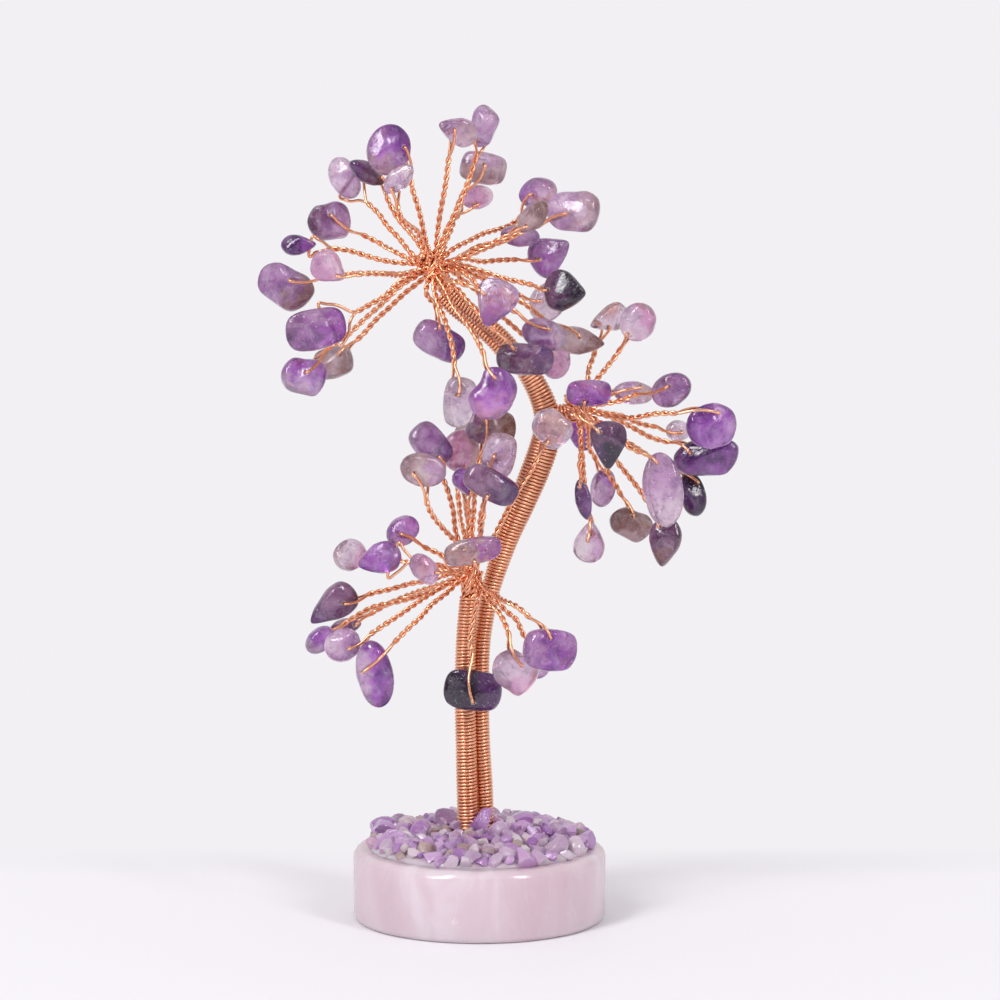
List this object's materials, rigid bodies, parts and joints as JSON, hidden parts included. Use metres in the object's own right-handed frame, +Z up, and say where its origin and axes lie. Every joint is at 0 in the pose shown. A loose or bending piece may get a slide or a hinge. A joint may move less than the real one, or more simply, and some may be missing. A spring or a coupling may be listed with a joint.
{
  "type": "gemstone tree ornament",
  "caption": "Desk ornament: tumbled stone chips on twisted copper wire twigs, wire-wrapped stems, round polished stone base with a gravel top.",
  "frame": {"origin": "middle of the flat underside of the stone disc", "axes": "+Z up, +X to the right of the front view, +Y away from the viewer"},
  "size_m": [0.0755, 0.0409, 0.1282],
  "materials": {
    "rose_quartz": "polished, cloudy, slightly translucent",
    "clear_resin": "clear and glossy",
    "copper_wire": "bright annealed copper wire",
    "amethyst_violet": "tumbled and polished, translucent",
    "amethyst_mid": "tumbled and polished, translucent",
    "amethyst_lilac": "tumbled and polished, translucent",
    "amethyst_pale": "tumbled and polished, translucent",
    "amethyst_rose": "tumbled and polished, translucent",
    "amethyst_smoke": "tumbled and polished, translucent",
    "amethyst_umber": "tumbled and polished, translucent",
    "amethyst_dusk": "tumbled and polished, translucent",
    "amethyst_deep": "tumbled and polished, translucent",
    "amethyst_ink": "tumbled and polished, translucent"
  },
  "bodies": {
    "stand": {"base_disc": "rose_quartz", "crown_stem_wrap": "copper_wire", "gravel_lilac": "amethyst_lilac", "gravel_rose": "amethyst_rose", "gravel_violet": "amethyst_violet", "left_stem_core": "copper_wire", "left_stem_wrap": "copper_wire", "main_stem_core": "copper_wire", "main_stem_lower_wrap": "copper_wire", "main_stem_upper_wrap": "copper_wire", "resin_bed": "clear_resin", "side_stem": "copper_wire"},
    "crown": {"crown_knot": "copper_wire", "crown_twigs": "copper_wire", "crown_held_stones": "amethyst_mid"},
    "left_spray": {"left_knot": "copper_wire", "left_twigs": "copper_wire", "left_held_stones": "amethyst_smoke"},
    "right_spray": {"right_knot": "copper_wire", "right_twigs": "copper_wire", "right_held_stones": "amethyst_violet"},
    "crown_stone_01": {"crown_stone_01": "amethyst_lilac"},
    "crown_stone_02": {"crown_stone_02": "amethyst_lilac"},
    "crown_stone_03": {"crown_stone_03": "amethyst_smoke"},
    "crown_stone_05": {"crown_stone_05": "amethyst_violet"},
    "crown_stone_06": {"crown_stone_06": "amethyst_dusk"},
    "crown_stone_07": {"crown_stone_07": "amethyst_pale"},
    "crown_stone_08": {"crown_stone_08": "amethyst_lilac"},
    "crown_stone_09": {"crown_stone_09": "amethyst_mid"},
    "crown_stone_10": {"crown_stone_10": "amethyst_deep"},
    "crown_stone_11": {"crown_stone_11": "amethyst_mid"},
    "crown_stone_13": {"crown_stone_13": "amethyst_mid"},
    "crown_stone_14": {"crown_stone_14": "amethyst_violet"},
    "crown_stone_16": {"crown_stone_16": "amethyst_lilac"},
    "crown_stone_19": {"crown_stone_19": "amethyst_lilac"},
    "crown_stone_20": {"crown_stone_20": "amethyst_mid"},
    "crown_stone_21": {"crown_stone_21": "amethyst_ink"},
    "crown_stone_25": {"crown_stone_25": "amethyst_smoke"},
    "left_stone_03": {"left_stone_03": "amethyst_mid"},
    "left_stone_04": {"left_stone_04": "amethyst_smoke"},
    "left_stone_10": {"left_stone_10": "amethyst_violet"},
    "left_stone_11": {"left_stone_11": "amethyst_violet"},
    "left_stone_12": {"left_stone_12": "amethyst_pale"},
    "left_stone_14": {"left_stone_14": "amethyst_dusk"},
    "left_stone_15": {"left_stone_15": "amethyst_lilac"},
    "left_stone_18": {"left_stone_18": "amethyst_violet"},
    "left_stone_19": {"left_stone_19": "amethyst_ink"},
    "left_stone_22": {"left_stone_22": "amethyst_violet"},
    "right_stone_02": {"right_stone_02": "amethyst_pale"},
    "right_stone_06": {"right_stone_06": "amethyst_ink"},
    "right_stone_08": {"right_stone_08": "amethyst_mid"},
    "right_stone_09": {"right_stone_09": "amethyst_violet"},
    "right_stone_10": {"right_stone_10": "amethyst_deep"},
    "right_stone_11": {"right_stone_11": "amethyst_lilac"},
    "right_stone_13": {"right_stone_13": "amethyst_dusk"},
    "right_stone_14": {"right_stone_14": "amethyst_umber"},
    "right_stone_15": {"right_stone_15": "amethyst_lilac"},
    "right_stone_17": {"right_stone_17": "amethyst_pale"}
  },
  "joints": [
    {"name": "crown_bend", "type": "hinge", "parent": "stand", "child": "crown", "pos_m": [-0.00734, 0, 0.1029], "axis": [0, 1, 0], "range_deg": [-5, 5]},
    {"name": "left_spray_bend", "type": "hinge", "parent": "stand", "child": "left_spray", "pos_m": [-0.00129, -0.0023, 0.0556], "axis": [0, 1, 0], "range_deg": [-5, 5]},
    {"name": "right_spray_bend", "type": "hinge", "parent": "stand", "child": "right_spray", "pos_m": [0.01559, 0, 0.08053], "axis": [0, 1, 0], "range_deg": [-5, 5]},
    {"name": "crown_stone_01_swivel", "type": "hinge", "parent": "crown", "child": "crown_stone_01", "pos_m": [-0.00415, -0.00292, 0.12454], "axis": [0.2079, -0.9781, 0], "range_deg": [-10, 10]},
    {"name": "crown_stone_02_swivel", "type": "hinge", "parent": "crown", "child": "crown_stone_02", "pos_m": [0.0002, 0.0021, 0.12262], "axis": [-0.4226, -0.9063, 0], "range_deg": [-10, 10]},
    {"name": "crown_stone_03_swivel", "type": "hinge", "parent": "crown", "child": "crown_stone_03", "pos_m": [0.00013, 0.00858, 0.1186], "axis": [0.342, -0.9397, 0], "range_deg": [-10, 10]},
    {"name": "crown_stone_05_swivel", "type": "hinge", "parent": "crown", "child": "crown_stone_05", "pos_m": [-0.01184, -0.0036, 0.12187], "axis": [0.2588, -0.9659, 0], "range_deg": [-10, 10]},
    {"name": "crown_stone_06_swivel", "type": "hinge", "parent": "crown", "child": "crown_stone_06", "pos_m": [-0.01571, 0.00358, 0.11687], "axis": [0.4226, -0.9063, 0], "range_deg": [-10, 10]},
    {"name": "crown_stone_07_swivel", "type": "hinge", "parent": "crown", "child": "crown_stone_07", "pos_m": [-0.01285, -0.00896, 0.11576], "axis": [-0.342, -0.9397, 0], "range_deg": [-10, 10]},
    {"name": "crown_stone_08_swivel", "type": "hinge", "parent": "crown", "child": "crown_stone_08", "pos_m": [-0.02065, 0.00846, 0.11554], "axis": [0.5419, -0.3129, 0.7801], "range_deg": [-10, 10]},
    {"name": "crown_stone_09_swivel", "type": "hinge", "parent": "crown", "child": "crown_stone_09", "pos_m": [-0.02374, 0.00399, 0.11098], "axis": [0.342, -0.9397, 0], "range_deg": [-10, 10]},
    {"name": "crown_stone_10_swivel", "type": "hinge", "parent": "crown", "child": "crown_stone_10", "pos_m": [-0.0262, 0.00046, 0.10654], "axis": [0.1897, 0, 0.9818], "range_deg": [-10, 10]},
    {"name": "crown_stone_11_swivel", "type": "hinge", "parent": "crown", "child": "crown_stone_11", "pos_m": [-0.02868, -0.00359, 0.10142], "axis": [-0.2588, -0.9659, 0], "range_deg": [-10, 10]},
    {"name": "crown_stone_13_swivel", "type": "hinge", "parent": "crown", "child": "crown_stone_13", "pos_m": [-0.02315, -0.00609, 0.09437], "axis": [-0.4493, -0.0792, 0.8899], "range_deg": [-10, 10]},
    {"name": "crown_stone_14_swivel", "type": "hinge", "parent": "crown", "child": "crown_stone_14", "pos_m": [-0.02758, -0.00242, 0.08701], "axis": [0.342, -0.9397, 0], "range_deg": [-10, 10]},
    {"name": "crown_stone_16_swivel", "type": "hinge", "parent": "crown", "child": "crown_stone_16", "pos_m": [0.00925, 0.01011, 0.11388], "axis": [-0.5, -0.866, 0], "range_deg": [-10, 10]},
    {"name": "crown_stone_19_swivel", "type": "hinge", "parent": "crown", "child": "crown_stone_19", "pos_m": [0.01417, 0.00246, 0.11136], "axis": [-0.2588, -0.9659, 0], "range_deg": [-10, 10]},
    {"name": "crown_stone_20_swivel", "type": "hinge", "parent": "crown", "child": "crown_stone_20", "pos_m": [0.00896, 0.01247, 0.10349], "axis": [0.342, -0.9397, 0], "range_deg": [-10, 10]},
    {"name": "crown_stone_21_swivel", "type": "hinge", "parent": "crown", "child": "crown_stone_21", "pos_m": [0.01124, -0.00226, 0.09976], "axis": [-0.4226, -0.9063, 0], "range_deg": [-10, 10]},
    {"name": "crown_stone_25_swivel", "type": "hinge", "parent": "crown", "child": "crown_stone_25", "pos_m": [0.01525, 0.00235, 0.09206], "axis": [0.2588, -0.9659, 0], "range_deg": [-10, 10]},
    {"name": "left_stone_03_swivel", "type": "hinge", "parent": "left_spray", "child": "left_stone_03", "pos_m": [-0.00681, -0.00442, 0.07408], "axis": [0.2588, -0.9659, 0], "range_deg": [-10, 10]},
    {"name": "left_stone_04_swivel", "type": "hinge", "parent": "left_spray", "child": "left_stone_04", "pos_m": [-0.00975, -0.00936, 0.07207], "axis": [-0.2588, -0.9659, 0], "range_deg": [-10, 10]},
    {"name": "left_stone_10_swivel", "type": "hinge", "parent": "left_spray", "child": "left_stone_10", "pos_m": [-0.0129, -0.00266, 0.06174], "axis": [0.342, -0.9397, 0], "range_deg": [-10, 10]},
    {"name": "left_stone_11_swivel", "type": "hinge", "parent": "left_spray", "child": "left_stone_11", "pos_m": [-0.01314, -0.00663, 0.05894], "axis": [0.2976, -0.0797, 0.9514], "range_deg": [-10, 10]},
    {"name": "left_stone_12_swivel", "type": "hinge", "parent": "left_spray", "child": "left_stone_12", "pos_m": [-0.01902, 0.00825, 0.0565], "axis": [0.5, -0.866, 0], "range_deg": [-10, 10]},
    {"name": "left_stone_14_swivel", "type": "hinge", "parent": "left_spray", "child": "left_stone_14", "pos_m": [-0.0215, -0.0023, 0.05066], "axis": [0.2588, -0.9659, 0], "range_deg": [-10, 10]},
    {"name": "left_stone_15_swivel", "type": "hinge", "parent": "left_spray", "child": "left_stone_15", "pos_m": [-0.01972, -0.00789, 0.04444], "axis": [-0.342, -0.9397, 0], "range_deg": [-10, 10]},
    {"name": "left_stone_18_swivel", "type": "hinge", "parent": "left_spray", "child": "left_stone_18", "pos_m": [-0.01766, -0.01077, 0.04128], "axis": [-0.1736, -0.9848, 0], "range_deg": [-10, 10]},
    {"name": "left_stone_19_swivel", "type": "hinge", "parent": "left_spray", "child": "left_stone_19", "pos_m": [-0.00092, -0.00644, 0.03582], "axis": [0, -1, 0], "range_deg": [-10, 10]},
    {"name": "left_stone_22_swivel", "type": "hinge", "parent": "left_spray", "child": "left_stone_22", "pos_m": [0.01048, -0.01759, 0.04772], "axis": [0.2588, -0.9659, 0], "range_deg": [-10, 10]},
    {"name": "right_stone_02_swivel", "type": "hinge", "parent": "right_spray", "child": "right_stone_02", "pos_m": [0.02352, 0.00219, 0.09256], "axis": [-0.2588, -0.9659, 0], "range_deg": [-10, 10]},
    {"name": "right_stone_06_swivel", "type": "hinge", "parent": "right_spray", "child": "right_stone_06", "pos_m": [0.01849, -0.01058, 0.07855], "axis": [0, -1, 0], "range_deg": [-10, 10]},
    {"name": "right_stone_08_swivel", "type": "hinge", "parent": "right_spray", "child": "right_stone_08", "pos_m": [0.02966, -0.0018, 0.08477], "axis": [-0.1736, -0.9848, 0], "range_deg": [-10, 10]},
    {"name": "right_stone_09_swivel", "type": "hinge", "parent": "right_spray", "child": "right_stone_09", "pos_m": [0.03683, -0.00306, 0.08069], "axis": [0.2588, -0.9659, 0], "range_deg": [-10, 10]},
    {"name": "right_stone_10_swivel", "type": "hinge", "parent": "right_spray", "child": "right_stone_10", "pos_m": [0.0335, 0.00316, 0.07372], "axis": [-0.1736, -0.9848, 0], "range_deg": [-10, 10]},
    {"name": "right_stone_11_swivel", "type": "hinge", "parent": "right_spray", "child": "right_stone_11", "pos_m": [0.02731, -0.00665, 0.07317], "axis": [0.1736, -0.9848, 0], "range_deg": [-10, 10]},
    {"name": "right_stone_13_swivel", "type": "hinge", "parent": "right_spray", "child": "right_stone_13", "pos_m": [0.02869, 0.00016, 0.06238], "axis": [-0.342, -0.9397, 0], "range_deg": [-10, 10]},
    {"name": "right_stone_14_swivel", "type": "hinge", "parent": "right_spray", "child": "right_stone_14", "pos_m": [0.02396, 0.00369, 0.0636], "axis": [0.1736, -0.9848, 0], "range_deg": [-10, 10]},
    {"name": "right_stone_15_swivel", "type": "hinge", "parent": "right_spray", "child": "right_stone_15", "pos_m": [0.01963, 0.0067, 0.06978], "axis": [0.342, -0.9397, 0], "range_deg": [-10, 10]},
    {"name": "right_stone_17_swivel", "type": "hinge", "parent": "right_spray", "child": "right_stone_17", "pos_m": [0.0173, 0.00275, 0.05982], "axis": [-0.1736, -0.9848, 0], "range_deg": [-10, 10]}
  ]
}
